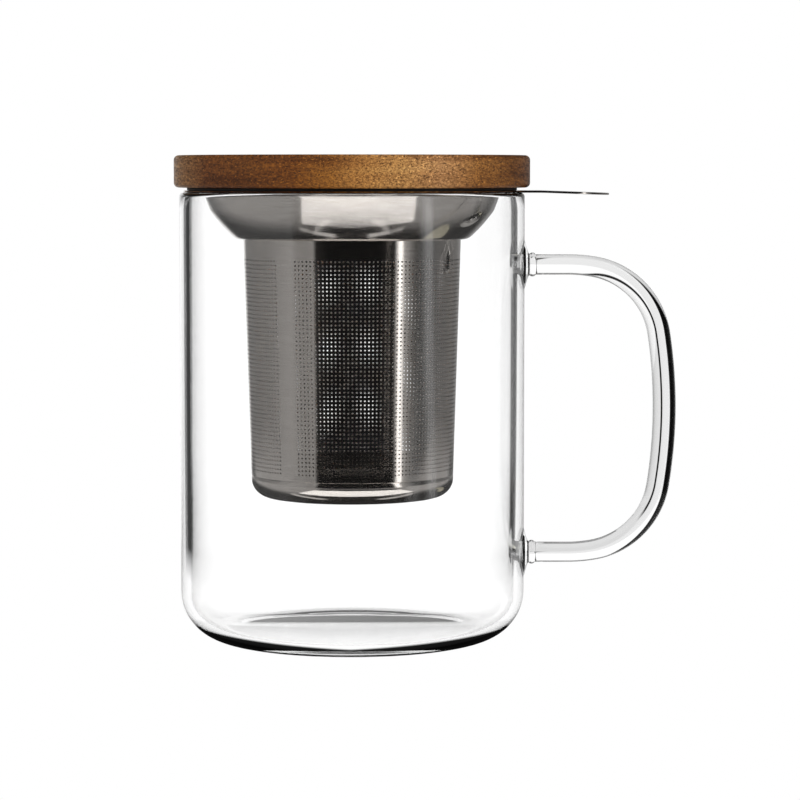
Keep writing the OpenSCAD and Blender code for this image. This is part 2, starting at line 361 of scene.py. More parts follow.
def acacia_wood():
    material = new_material("acacia_turned_and_oiled")
    place = add_node(material, "ShaderNodeTexCoord")
    bend_noise = noise_of_size(material, (30, 30, 30), 1.0)
    bend = add_node(
        material,
        "ShaderNodeVectorMath",
        settings={"operation": "MULTIPLY_ADD"},
        inputs={1: [0.0, 0.006, 0.004]},
        links={0: bend_noise.outputs["Color"], 2: place.outputs["Object"]},
    )
    layers = {}
    for layer, size, detail in (
        ("bands", (24, 70, 2.2), 3.0),
        ("fibres", (0.7, 5.0, 0.42), 3.0),
        ("pores", (0.42, 2.4, 0.3), 1.0),
        ("flecks", (0.5, 1.5, 0.36), 2.0),
    ):
        layers[layer] = noise_of_size(material, size, detail, 0.55, bend.outputs["Vector"]).outputs["Fac"]
    bent = add_node(material, "ShaderNodeSeparateXYZ", links={0: bend.outputs["Vector"]})
    across_board = add_node(
        material,
        "ShaderNodeMapRange",
        inputs={"From Min": -BOARD_HALF * MM, "From Max": BOARD_HALF * MM},
        links={"Value": bent.outputs["X"]},
    )
    # The wood's colour with its painted light and shade, read across the lid.
    board_colour_with_painted_light = add_node(
        material,
        "ShaderNodeValToRGB",
        links={"Fac": across_board.outputs["Result"]},
        stops=[(x_mm / (2 * BOARD_HALF) + 0.5, colour) for x_mm, colour in BOARD_COLOURS_WITH_PAINTED_LIGHT],
    )
    colour = board_colour_with_painted_light.outputs["Color"]
    for layer, strength, stops in (
        ("bands", 1.0, [(0.30, "#bcac9e"), (0.70, "#ffffff"), (0.44, "#dacec4"), (0.56, "#f2ece6")]),
        ("fibres", 0.85, [(0.32, "#8a7a68"), (0.68, "#ffffff")]),
    ):
        shade = add_node(material, "ShaderNodeValToRGB", links={"Fac": layers[layer]}, stops=stops)
        colour = add_node(
            material,
            "ShaderNodeMix",
            settings={"data_type": "RGBA", "blend_type": "MULTIPLY"},
            inputs={0: strength},
            links={6: colour, 7: shade.outputs["Color"]},
        ).outputs[2]
    amount = {}
    for layer, start, full, most in (("flecks", 0.58, 0.74, 0.7), ("pores", 0.58, 0.66, 0.8)):
        amount[layer] = add_node(
            material,
            "ShaderNodeMapRange",
            inputs={"From Min": start, "From Max": full, "To Min": 0.0, "To Max": most},
            links={"Value": layers[layer]},
        ).outputs["Result"]
    fleck_colour = add_node(
        material,
        "ShaderNodeVectorMath",
        settings={"operation": "SCALE"},
        inputs={"Scale": 1.8},
        links={0: board_colour_with_painted_light.outputs["Color"]},
    )
    with_flecks = add_node(
        material,
        "ShaderNodeMix",
        settings={"data_type": "RGBA"},
        links={0: amount["flecks"], 6: colour, 7: fleck_colour.outputs["Vector"]},
    )
    with_pores = add_node(
        material,
        "ShaderNodeMix",
        settings={"data_type": "RGBA"},
        inputs={7: linear("#3c2410")},
        links={0: amount["pores"], 6: with_flecks.outputs[2]},
    )
    roughness = add_node(
        material,
        "ShaderNodeMapRange",
        inputs={"From Min": 0.3, "From Max": 0.7, "To Min": 0.5, "To Max": 0.34},
        links={"Value": layers["fibres"]},
    )
    depth = add_node(
        material,
        "ShaderNodeMath",
        settings={"operation": "SUBTRACT"},
        links={0: layers["fibres"], 1: amount["pores"]},
    )
    relief = add_node(
        material,
        "ShaderNodeBump",
        inputs={"Strength": 0.6, "Distance": 0.05 * MM},
        links={"Height": depth.outputs["Value"]},
    )
    shader = add_node(
        material,
        "ShaderNodeBsdfPrincipled",
        inputs={"IOR": 1.5, "Specular IOR Level": 0.2},
        links={
            "Base Color": with_pores.outputs[2],
            "Roughness": roughness.outputs["Result"],
            "Normal": relief.outputs["Normal"],
        },
    )
    return finish_material(material, shader)


# %% [markdown]
# ### Silicone rubber, moulded
# Soft dark rubber with a matt skin. It draws fine dust, which shows as paler grains.


# %% Silicone
def silicone_rubber():
    material = new_material("silicone_moulded_dark_grey")
    dust = noise_of_size(material, (0.35, 0.35, 0.35), 2.0)
    tint = add_node(
        material,
        "ShaderNodeValToRGB",
        links={"Fac": dust.outputs["Fac"]},
        stops=[(0.35, "#161617"), (0.8, "#3c3c3d"), (0.6, "#1f1f20")],
    )
    skin = add_node(
        material,
        "ShaderNodeBump",
        inputs={"Strength": 0.4, "Distance": 0.02 * MM},
        links={"Height": dust.outputs["Fac"]},
    )
    shader = add_node(
        material,
        "ShaderNodeBsdfPrincipled",
        inputs={"Roughness": 0.55, "IOR": 1.41},
        links={"Base Color": tint.outputs["Color"], "Normal": skin.outputs["Normal"]},
    )
    return finish_material(material, shader)


# %% All the materials
blown_glass = borosilicate_glass("borosilicate_glass_blown", (45, 45, 30), 0.02)
drawn_glass = borosilicate_glass("borosilicate_glass_drawn_rod", (14, 14, 14), 0.008)
joint = fused_joint()
pressed_steel = stainless_steel("stainless_steel_pressed_polished", (6, 6, 0.12), 0.012)
etched_steel = stainless_steel("stainless_steel_etched_polished", (6, 6, 0.12), 0.008)
etched_inside = stainless_steel("stainless_steel_etched_matt_inside", (6, 6, 0.12), 0.008, (0.38, 0.5), 0.85)
wood = acacia_wood()
silicone = silicone_rubber()
print("materials:", [m.name for m in bpy.data.materials if m.use_nodes][-8:])

# %% [markdown]
# ## The glass body
# The real mug is blown into a turning mould, so every section is round and the outline can be spun. The
# wall keeps one thickness, the lower corner is a quarter circle, the base is hollow underneath and the rim
# was melted round in a flame.

# %% Sizes of the glass
MUG_R = 42.5
MUG_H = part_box("glass_body")[1].z / MM
WALL = 2.4
CORNER_R = 12.0
FLOOR_T = 2.7
CORNER_EXTRA = 0.6
FOOT_W = 2.5
PUNT_RISE = 1.2
RIM_R = 1.0

foot_r = MUG_R - CORNER_R
inner_r = MUG_R - WALL
inner_corner_r = CORNER_R - WALL - CORNER_EXTRA
punt_r = foot_r - FOOT_W


def hollow(r):
    """Height of the hollow under the base, a shallow dome."""
    return PUNT_RISE * (1 - (r / punt_r) ** 2)


def up_the_wall(r, low, high, step=3.0):
    """Points between two heights, so that each face of the straight wall stays short."""
    count = int((high - low) / step)
    return [(r, low + (high - low) * i / count) for i in range(1, count)]


# %% Glass body
wall_low, wall_high = FLOOR_T + inner_corner_r, MUG_H - RIM_R
outline = [(punt_r * i / 12, hollow(punt_r * i / 12)) for i in range(13)]
outline += arc(foot_r, CORNER_R, CORNER_R, -90, 0, 24)
outline += up_the_wall(MUG_R, CORNER_R, wall_high)
outline += arc(MUG_R - RIM_R, wall_high, RIM_R, 0, 90, 8)
outline += arc(inner_r + RIM_R, wall_high, RIM_R, 90, 180, 8)
outline += up_the_wall(inner_r, wall_low, wall_high)[::-1]
outline += arc(inner_r - inner_corner_r, wall_low, inner_corner_r, 0, -90, 24)
outline += [(inner_r - inner_corner_r - (inner_r - inner_corner_r) * i / 8, FLOOR_T) for i in range(1, 9)]
glass_body = turn_on_lathe("glass_body_blown", outline)
smooth(glass_body)
dress(glass_body, blown_glass, joint)

# %% [markdown]
# ## The handle
# A glass rod, heated and bent: the arms are drawn thin near the wall and the side keeps its thickness. The
# rod is a ring of edges, extruded and spun along its path, with its radius eased from ring to ring.

# %% Sizes of the handle
ROD_ARM_R = 2.5
ROD_SIDE_R = 2.85
HANDLE_MID = 57.0
ARM_SPAN = 71.4
HANDLE_REACH = 37.6
ARM_BEND_R = 37.5
ARM_BEND_TURN = 9.6
CORNER_BEND_R = 19.7
CORNER_END_TURN = 81.1
PAD_R = 6.1
ROOT_X = 41.4


def sin_deg(a):
    return math.sin(math.radians(a))


def cos_deg(a):
    return math.cos(math.radians(a))


side_r = (
    ARM_SPAN / 2
    - ARM_BEND_R * (1 - cos_deg(ARM_BEND_TURN))
    - CORNER_BEND_R * (cos_deg(ARM_BEND_TURN) - cos_deg(CORNER_END_TURN))
) / cos_deg(CORNER_END_TURN)
side_x = MUG_R + HANDLE_REACH - ROD_SIDE_R
arm_end_x = (
    side_x
    - ARM_BEND_R * sin_deg(ARM_BEND_TURN)
    - CORNER_BEND_R * (sin_deg(CORNER_END_TURN) - sin_deg(ARM_BEND_TURN))
    - side_r * (1 - sin_deg(CORNER_END_TURN))
)
print("the side bends at", round(side_r, 1), "mm, the arms end at x", round(arm_end_x, 1))


# %% The rod's path
class RodPath:
    """Carries a ring of edges along the path and eases its radius."""

    def __init__(self, x, z, radius):
        self.x, self.z, self.radius, self.turn = x, z, radius, 0.0

    def centre(self):
        return (self.x * MM, 0, self.z * MM)

    def widen(self, radius):
        k = radius / self.radius
        bpy.ops.transform.resize(value=(k, k, k), center_override=self.centre())
        self.radius = radius

    def go(self, length, radius):
        dx, dz = length * cos_deg(self.turn), -length * sin_deg(self.turn)
        bpy.ops.mesh.extrude_edges_move(TRANSFORM_OT_translate={"value": (dx * MM, 0, dz * MM)})
        self.x, self.z = self.x + dx, self.z + dz
        self.widen(radius)

    def bend(self, bend_r, turn, radius, steps):
        """The spin runs backwards, because a positive angle about +Y would lift the rod."""
        start = self.radius
        cx, cz = self.x - bend_r * sin_deg(self.turn), self.z - bend_r * cos_deg(self.turn)
        for i in range(steps):
            bpy.ops.mesh.spin(
                steps=1, angle=-math.radians(turn / steps), center=(cx * MM, 0, cz * MM), axis=(0, 1, 0)
            )
            self.turn += turn / steps
            self.x, self.z = cx + bend_r * sin_deg(self.turn), cz + bend_r * cos_deg(self.turn)
            self.widen(start + (radius - start) * (i + 1) / steps)


# %% Half the rod
deselect_all()
bpy.ops.mesh.primitive_circle_add(
    vertices=48,
    radius=PAD_R * MM,
    fill_type="NOTHING",
    location=(ROOT_X * MM, 0, (HANDLE_MID + ARM_SPAN / 2) * MM),
    rotation=(0, math.pi / 2, 0),
)
handle = bpy.context.object
handle.name = "glass_handle_bent_rod"
bpy.ops.object.transform_apply(location=True, rotation=True, scale=True)
edit_all(handle, "EDGE")
rod = RodPath(ROOT_X, HANDLE_MID + ARM_SPAN / 2, PAD_R)
PAD_PROFILE = ((0.3, PAD_R), (1.05, 5.3), (0.25, 4.4), (0.2, 3.75), (0.25, 2.95), (0.2, 2.7))
BEAD_PROFILE = ((0.15, 2.7), (0.2, 2.85), (0.35, 2.95), (0.35, 2.95), (0.3, 2.8), (0.2, 2.6), (0.3, ROD_ARM_R))
# Both are rows of (step along the rod, its radius there).
for step, radius in PAD_PROFILE + BEAD_PROFILE:
    rod.go(step, radius)
rod.go(arm_end_x - rod.x, ROD_ARM_R)
rod.bend(ARM_BEND_R, ARM_BEND_TURN, ROD_ARM_R + 0.03, 6)
rod.bend(CORNER_BEND_R, CORNER_END_TURN - ARM_BEND_TURN, ROD_SIDE_R - 0.05, 28)
rod.bend(side_r, 90 - CORNER_END_TURN, ROD_SIDE_R, 12)
ring = [v.co for v in bmesh.from_edit_mesh(handle.data).verts if v.select]
ring_centre = sum(ring, Vector()) / len(ring) / MM
leave_edit()
print("half the rod ends at", round(rod.x, 2), round(rod.z, 2), "its last ring at", list(ring_centre))

# %% [markdown]
# The lower half is the upper half mirrored at the handle's middle. The ring next to the root is pressed onto
# the wall by a Shrinkwrap that looks along X, so that the visible glass of the pad starts on the wall itself.

# %% Mirror the rod and seat it on the wall
deselect_all()
bpy.ops.object.empty_add(location=(0, 0, HANDLE_MID * MM))
mirror_plane = bpy.context.object
apply_modifier(
    handle,
    "MIRROR",
    use_axis=(False, False, True),
    merge_threshold=0.02 * MM,
    mirror_object=mirror_plane,
)
bpy.data.objects.remove(mirror_plane)
edit(handle, "EDGE")
bpy.ops.mesh.select_all(action="DESELECT")
bpy.ops.mesh.select_non_manifold(use_boundary=True)
bpy.ops.mesh.fill_holes(sides=0)
close_up(handle)
wall_ring = handle.vertex_groups.new(name="wall_ring")
seated = [v.index for v in handle.data.vertices if ROOT_X + 0.2 < v.co.x / MM < ROOT_X + 0.4]
wall_ring.add(seated, 1.0, "REPLACE")
apply_modifier(
    handle,
    "SHRINKWRAP",
    wrap_method="PROJECT",
    use_project_x=True,
    use_positive_direction=True,
    use_negative_direction=False,
    target=glass_body,
    vertex_group=wall_ring.name,
)
print("ring pressed on the wall:", len(seated), "points")
smooth(handle, 60)

# %% [markdown]
# Where rod and wall were melted together there is no surface left. The rod's root, inside the wall, gets the
# fused joint, and a Boolean takes the same shape out of the wall, with the same joint on the pocket.

# %% Fuse the rod to the wall
dress(handle, drawn_glass, joint)
edit(handle)
select_where(handle, lambda x, y, z: x < math.sqrt(MUG_R**2 - y**2) + 0.02)
bpy.ops.mesh.select_mode(type="FACE")
handle.active_material_index = 1
bpy.ops.object.material_slot_assign()
leave_edit()
apply_modifier(glass_body, "BOOLEAN", operation="DIFFERENCE", solver="EXACT", object=handle)
smooth(glass_body)
fused_faces = [sum(p.material_index == 1 for p in piece.data.polygons) for piece in (glass_body, handle)]
print("fused faces on wall and rod:", fused_faces)
finish_piece(glass_body, "mug", ["glass_body"])
finish_piece(handle, "mug", ["glass_handle"])

# %% [markdown]
# ## The infuser's collar
# Flange, bowl, shelf and neck are pressed from one round sheet, so the section is one line of even thickness.
# A small drawing helper follows the line in runs and bends, as the press does, and the lathe turns it.


# %% A line of pressed sheet
class SheetLine:
    """Follows the middle of the sheet; the heading is in degrees, 180 towards the axis."""

    def __init__(self, r, z, heading):
        self.r, self.z, self.heading = r, z, heading
        self.points = [(r, z, heading)]

    def run(self, length):
        self.r += length * cos_deg(self.heading)
        self.z += length * sin_deg(self.heading)
        self.points.append((self.r, self.z, self.heading))

    def bend(self, radius, turn, steps):
        side = 1 if turn > 0 else -1
        cr = self.r - side * radius * sin_deg(self.heading)
        cz = self.z + side * radius * cos_deg(self.heading)
        for _ in range(steps):
            self.heading += turn / steps
            self.r = cr + side * radius * sin_deg(self.heading)
            self.z = cz - side * radius * cos_deg(self.heading)
            self.points.append((self.r, self.z, self.heading))

    def outline(self, thickness):
        """Both faces of the sheet, joined at the ends by a blunt edge."""
        half = thickness / 2
        left = [(r - half * sin_deg(h), z + half * cos_deg(h)) for r, z, h in self.points]
        right = [(r + half * sin_deg(h), z - half * cos_deg(h)) for r, z, h in self.points]
        r, z, h = self.points[0]
        first_edge = (r - 0.6 * half * cos_deg(h), z - 0.6 * half * sin_deg(h))
        r, z, h = self.points[-1]
        last_edge = (r + 0.6 * half * cos_deg(h), z + 0.6 * half * sin_deg(h))
        closed = [first_edge] + left + [last_edge] + right[::-1]
        return closed + closed[:1]


# %% Sizes of the collar
SHEET_T = 0.5
SEAT_GAP = 0.03
FLANGE_R = 41.5
BOWL_MOUTH_R = 38.15
BOWL_DROP = 11.4
LIP_BEND_R, LIP_TURN = 1.2, 62
SHELF_BEND_R, SHELF_TURN = 2.5, 42
BOWL_ARC_R = (
    BOWL_DROP - LIP_BEND_R * (1 - cos_deg(LIP_TURN)) - SHELF_BEND_R * (1 - cos_deg(SHELF_TURN))
) / (cos_deg(SHELF_TURN) - cos_deg(LIP_TURN))
SHELF_RUN, NECK_BEND_R, NECK_TURN, NECK_H = 0.85, 0.6, 88.2, 3.4
flange_z = MUG_H + SEAT_GAP
print("the bowl's arc has a radius of", round(BOWL_ARC_R, 2), "mm")

# %% Collar
sheet = SheetLine(FLANGE_R - 0.1, flange_z + SHEET_T / 2, 180)
sheet.run(FLANGE_R - 0.1 - BOWL_MOUTH_R)
sheet.bend(LIP_BEND_R, LIP_TURN, 10)
sheet.bend(BOWL_ARC_R, SHELF_TURN - LIP_TURN, 16)
sheet.bend(SHELF_BEND_R, -SHELF_TURN, 10)
shelf_r = sheet.r
sheet.run(SHELF_RUN)
sheet.bend(NECK_BEND_R, NECK_TURN, 8)
sheet.run(NECK_H)
print("shelf at r", round(shelf_r, 2), "z", round(sheet.points[-11][1], 2))
collar = turn_on_lathe("infuser_collar_pressed", sheet.outline(SHEET_T))
smooth(collar)
dress(collar, pressed_steel)
finish_piece(collar, "infuser", ["infuser_collar"])

# %% [markdown]
# The lifting tab is cut with the flange and folded down a little outside the glass. It is drawn as a flat
# outline, extruded to the sheet's thickness, cut across at the fold, and its end is turned down.

# %% Lifting tab
TAB_LEN, TAB_W = 21.8, 22.0
TAB_FOLD_X, TAB_DROOP = FLANGE_R + 5.0, 2.0
FOLD_CUTS = (-0.8, -0.4, 0, 0.4, 0.8)
tab_tip_x = FLANGE_R + TAB_LEN
tab_round_x = tab_tip_x - TAB_W / 2
tab_root_x = math.sqrt(FLANGE_R**2 - (TAB_W / 2) ** 2) - 0.4
half_round = [(tab_round_x + TAB_W / 2 * cos_deg(a), TAB_W / 2 * sin_deg(a)) for a in range(-90, 91, 6)]
tab_outline = [(tab_root_x, -TAB_W / 2)] + half_round + [(tab_root_x, TAB_W / 2)]
tab = trace("infuser_lifting_tab", [(x, y, flange_z) for x, y in tab_outline])
bpy.ops.mesh.select_all(action="SELECT")
bpy.ops.mesh.edge_face_add()
bpy.ops.mesh.extrude_region_move(TRANSFORM_OT_translate={"value": (0, 0, SHEET_T * MM)})
for cut in FOLD_CUTS:
    bpy.ops.mesh.select_all(action="SELECT")
    bpy.ops.mesh.bisect(plane_co=((TAB_FOLD_X + cut) * MM, 0, 0), plane_no=(1, 0, 0))
for cut in FOLD_CUTS:
    select_where(tab, lambda x, y, z: x > TAB_FOLD_X + cut - 0.01)
    bpy.ops.transform.rotate(
        value=-math.radians(TAB_DROOP / len(FOLD_CUTS)),
        orient_axis="Y",
        center_override=((TAB_FOLD_X + cut) * MM, 0, flange_z * MM),
    )
close_up(tab)
tip = min(v.co.z for v in tab.data.vertices) / MM
print("the tab's tip is", round(tip - flange_z, 2), "mm below the flange")
apply_modifier(tab, "BEVEL", width=0.12 * MM, segments=2, limit_method="ANGLE", angle_limit=math.radians(50))
smooth(tab)
dress(tab, pressed_steel)
finish_piece(tab, "infuser", ["infuser_collar"])

# %% [markdown]
# ## The strainer wall
# The wall is a thin steel sheet with 52 rows of 160 etched holes, half a millimetre wide, rolled to a
# slightly tapered tube. One hole in its square of sheet is drawn, repeated into a flat strip, bent round,
# tapered and given its thickness, much as the real one is made. Four strips keep each mesh light.

# %% Sizes of the strainer wall
TUBE_TOP_Z, TUBE_LOW_Z = 99.0, 41.05
HOLE_ROWS, HOLE_COLUMNS, STRIPS = 52, 160, 4
HOLE_TOP_Z, HOLE_LOW_Z = 94.1, 42.8
HOLE_R = 0.24
FOIL_T = 0.2
SEAM_TURN, SEAM_WIDTH_TURN = 234.0, 10.6
TUBE_SLOPE = math.tan(math.radians(1.8))
TUBE_TOP_R = 26.8
cone_r = TUBE_TOP_R - TUBE_SLOPE * TUBE_TOP_Z
column_turn = (360 - SEAM_WIDTH_TURN) / HOLE_COLUMNS
strip_columns = HOLE_COLUMNS // STRIPS
strip_turn = strip_columns * column_turn
cell_w = math.radians(column_turn) * cone_r
cell_h = (HOLE_TOP_Z - HOLE_LOW_Z) / (HOLE_ROWS - 1)
stretch = (TUBE_TOP_R + TUBE_LOW_Z * TUBE_SLOPE + cone_r) / 2 / cone_r
print("hole pitch", round(cell_w * stretch, 3), "by", round(cell_h, 3), "mm")


# %% Roll a flat strip to the tapered tube
def roll(piece, turn, centre_turn):
    """Bend a strip that lies along X to a cylinder and taper it to the tube's cone."""
    apply_modifier(piece, "SIMPLE_DEFORM", deform_method="BEND", deform_axis="Z", angle=math.radians(turn))
    edit_all(piece)
    bpy.ops.transform.translate(value=(0, -cone_r * MM, 0))
    leave_edit()
    piece.rotation_euler.z = math.radians(centre_turn + 90)
    bpy.ops.object.transform_apply(location=False, rotation=True, scale=False)
    heights = [v.co.z for v in piece.data.vertices]
    span = max(heights) - min(heights)
    apply_modifier(
        piece, "SIMPLE_DEFORM", deform_method="TAPER", deform_axis="Z", factor=TUBE_SLOPE * span / (cone_r * MM)
    )
    radii = [(v.co.xy.length / MM, v.co.z / MM) for v in piece.data.vertices]
    low, high = min(radii, key=lambda p: p[1]), max(radii, key=lambda p: p[1])
    print(piece.name, "r, z at its foot", [round(v, 2) for v in low], "and top", [round(v, 2) for v in high])


# %% One hole in its square of sheet
deselect_all()
bpy.ops.mesh.primitive_circle_add(
    vertices=8, radius=HOLE_R * MM, fill_type="NOTHING", rotation=(math.pi / 2, 0, 0)
)
cell = bpy.context.object
cell.name = "strainer_wall_strip_1"
bpy.ops.object.transform_apply(location=False, rotation=True, scale=False)
edit_all(cell, "EDGE")
bpy.ops.transform.resize(value=(1 / stretch, 1, 1), center_override=(0, 0, 0))
bpy.ops.mesh.extrude_edges_move()
bpy.ops.transform.resize(
    value=(cell_w / 2 / HOLE_R * stretch, 1, cell_h / 2 / HOLE_R), center_override=(0, 0, 0)
)
count = select_where(
    cell,
    lambda x, y, z: 0.5 * cell_w * 0.6 < abs(x) < 0.5 * cell_w * 0.8 and 0.5 * cell_h * 0.6 < abs(z),
)
bpy.ops.transform.resize(value=(math.sqrt(2), 1, math.sqrt(2)), center_override=(0, 0, 0))
leave_edit()
print("corners drawn out to the square:", count)

# %% Repeat it into a strip
edit_all(cell)
bpy.ops.transform.translate(value=(-cell_w * (strip_columns - 1) / 2 * MM, 0, HOLE_LOW_Z * MM))
leave_edit()
for count, offset in ((strip_columns, (cell_w * MM, 0, 0)), (HOLE_ROWS, (0, 0, cell_h * MM))):
    apply_modifier(
        cell,
        "ARRAY",
        count=count,
        use_relative_offset=False,
        use_constant_offset=True,
        constant_offset_displace=offset,
        use_merge_vertices=True,
        merge_threshold=0.01 * MM,
    )
for edge_z, target in ((HOLE_TOP_Z + cell_h / 2, TUBE_TOP_Z), (HOLE_LOW_Z - cell_h / 2, TUBE_LOW_Z)):
    edit(cell)
    select_where(cell, lambda x, y, z: abs(z - edge_z) < 0.02)
    bpy.ops.mesh.extrude_edges_move(TRANSFORM_OT_translate={"value": (0, 0, (target - edge_z) * MM)})
    leave_edit()
close_up(cell)
print("the strip is", [round(d / MM, 2) for d in cell.dimensions], "mm")

# %% Four strips, rolled
strips = [cell]
for number in range(2, STRIPS + 1):
    strip = cell.copy()
    strip.data = cell.data.copy()
    strip.name = "strainer_wall_strip_" + str(number)
    bpy.context.collection.objects.link(strip)
    strips.append(strip)
first_turn = SEAM_TURN + SEAM_WIDTH_TURN / 2 + strip_turn / 2
for number, strip in enumerate(strips):
    roll(strip, strip_turn, first_turn + number * strip_turn)
    close_up(strip)
    dress(strip, etched_steel, etched_inside)
    apply_modifier(strip, "SOLIDIFY", thickness=FOIL_T * MM, offset=-1.0, material_offset=1)
    smooth(strip, 40)
    finish_piece(strip, "infuser", ["strainer_tube"])

# %% [markdown]
# The two ends of the sheet overlap in a plain seam and are spot welded. The seam is a narrow strip of the
# same cone as the wall.

# %% Seam
deselect_all()
bpy.ops.mesh.primitive_grid_add(x_subdivisions=12, y_subdivisions=8, size=1, rotation=(math.pi / 2, 0, 0))
seam = bpy.context.object
seam.name = "strainer_seam"
seam.scale = (math.radians(SEAM_WIDTH_TURN) * cone_r * MM, (TUBE_TOP_Z - TUBE_LOW_Z) * MM, 1)
seam.location.z = (TUBE_TOP_Z + TUBE_LOW_Z) / 2 * MM
bpy.ops.object.transform_apply(location=True, rotation=True, scale=True)
roll(seam, SEAM_WIDTH_TURN, SEAM_TURN)
close_up(seam)
dress(seam, etched_steel, etched_inside)
apply_modifier(seam, "SOLIDIFY", thickness=FOIL_T * MM, offset=-1.0, material_offset=1)
smooth(seam)
finish_piece(seam, "infuser", ["strainer_tube"])

# %% [markdown]
# ## The strainer's cup
# A small pressed cup closes the tube: a flat floor with drain holes, a round edge, and a lip inside the wall.

# %% Cup
CUP_Z, CUP_R, CUP_WALL, CUP_LIP = 35.5, 4.5, 0.75, 2.7
JOGGLE_R, JOGGLE_TURN = 0.35, 60
tube_low_r = cone_r + TUBE_SLOPE * TUBE_LOW_Z
cup_line = SheetLine(0.01, CUP_Z + SHEET_T / 2, 0)
cup_line.run(tube_low_r - CUP_R - 0.01)
cup_line.bend(CUP_R - SHEET_T / 2, 90, 14)
cup_line.run(CUP_WALL)
cup_line.bend(JOGGLE_R, JOGGLE_TURN, 3)
cup_line.bend(JOGGLE_R, -JOGGLE_TURN, 3)
cup_line.run(CUP_LIP)
cup = turn_on_lathe("strainer_cup_pressed", [(max(r, 0), z) for r, z in cup_line.outline(SHEET_T)])
smooth(cup)

# %% Drain holes
DRAIN_R, DRAIN_STEP = 1.0, 6.0
drains = []
for ring_number in range(3):
    for k in range(max(1, 6 * ring_number)):
        turn = math.radians(k * 60 / max(1, ring_number))
        drains.append((DRAIN_STEP * ring_number * math.cos(turn), DRAIN_STEP * ring_number * math.sin(turn)))
deselect_all()
punch = None
for x, y in drains:
    bpy.ops.mesh.primitive_cylinder_add(
        vertices=24, radius=DRAIN_R * MM, depth=3 * MM, location=(x * MM, y * MM, CUP_Z * MM)
    )
    if punch is None:
        punch = bpy.context.object
        edit(punch)
leave_edit()
apply_modifier(cup, "BOOLEAN", operation="DIFFERENCE", solver="EXACT", object=punch)
bpy.data.objects.remove(punch)
close_up(cup)
smooth(cup)
dress(cup, pressed_steel)
print("drain holes:", len(drains))
finish_piece(cup, "infuser", ["strainer_base"])

# %% [markdown]
# ## The lid
# A disc of solid wood, turned on a lathe with softly rounded edges and a boss underneath that carries the
# silicone seal.

# %% Lid
LID_LOW_Z, LID_T, LID_R, LID_EDGE_R = 111.66, 7.9, 43.8, 1.2
BOSS_LOW_Z, BOSS_EDGE_R, SEAL_T = 106.66, 0.5, 1.6
PLUG_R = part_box("lid_seal")[1].x / MM
RIB_R, RIB_LOW, RIB_STEP = 0.5, 1.2, 1.8
boss_r = PLUG_R - RIB_R - SEAL_T
lid_outline = [(0, BOSS_LOW_Z)] + arc(boss_r - BOSS_EDGE_R, BOSS_LOW_Z + BOSS_EDGE_R, BOSS_EDGE_R, -90, 0, 4)
lid_outline += [(boss_r, LID_LOW_Z)]
lid_outline += arc(LID_R - LID_EDGE_R, LID_LOW_Z + LID_EDGE_R, LID_EDGE_R, -90, 0, 8)
lid_outline += arc(LID_R - LID_EDGE_R, LID_LOW_Z + LID_T - LID_EDGE_R, LID_EDGE_R, 0, 90, 8)
lid_outline += [(r, LID_LOW_Z + LID_T) for r in (36, 24, 12, 0)]
lid = turn_on_lathe("lid_turned_wood", lid_outline)
smooth(lid)
dress(lid, wood)
finish_piece(lid, "lid", ["lid_disc"])

# %% [markdown]
# A flat gasket lies under the lid, and a ring with two soft ribs grips the bowl's mouth.

# %% Gasket and seal
GASKET_T, GASKET_R, GASKET_EDGE_R = 0.7, 40.6, 0.25
gasket_in_r = boss_r + SEAL_T + 0.1
gasket_z = LID_LOW_Z - GASKET_T
gasket_outline = [(gasket_in_r, gasket_z), (gasket_in_r, LID_LOW_Z)]
for edge_z, start in ((LID_LOW_Z - GASKET_EDGE_R, 90), (gasket_z + GASKET_EDGE_R, 0)):
    gasket_outline += arc(GASKET_R - GASKET_EDGE_R, edge_z, GASKET_EDGE_R, start, start - 90, 4)
gasket = turn_on_lathe("lid_gasket_flat", gasket_outline + gasket_outline[:1])
smooth(gasket)
dress(gasket, silicone)
finish_piece(gasket, "lid", ["lid_gasket"])

seal_r = boss_r + SEAL_T
seal_outline = [(boss_r, BOSS_LOW_Z + 0.05), (seal_r - 0.3, BOSS_LOW_Z + 0.05)]
for k in range(2):
    seal_outline += arc(seal_r, BOSS_LOW_Z + RIB_LOW + k * RIB_STEP, RIB_R, -90, 90, 8)
seal_outline += [(seal_r, LID_LOW_Z - 0.05), (boss_r, LID_LOW_Z - 0.05)]
seal = turn_on_lathe("lid_seal_ribbed", seal_outline + seal_outline[:1])
smooth(seal)
dress(seal, silicone)
finish_piece(seal, "lid", ["lid_seal"])


# %% [markdown]
# ## The studio
# Clear glass and polished steel show nothing but what stands round them, so most of the picture is made here.
# The table and the wall are lit evenly white. Beside the white wall stand dark panels: the curved edge of the
# glass bends the line of sight onto them, which draws its black outline. The polished steel looks back
# towards the camera instead: there is a dark room with a narrow bright window on the right, and a white card
# on the table just in front of the mug. Real cards and panels would get in each other's way, so the light
# path tells what a ray has met, and each kind of ray gets its own ring of light and dark. A ray that has been
# mirrored counts as glossy; one that only passed through glass doesn't.


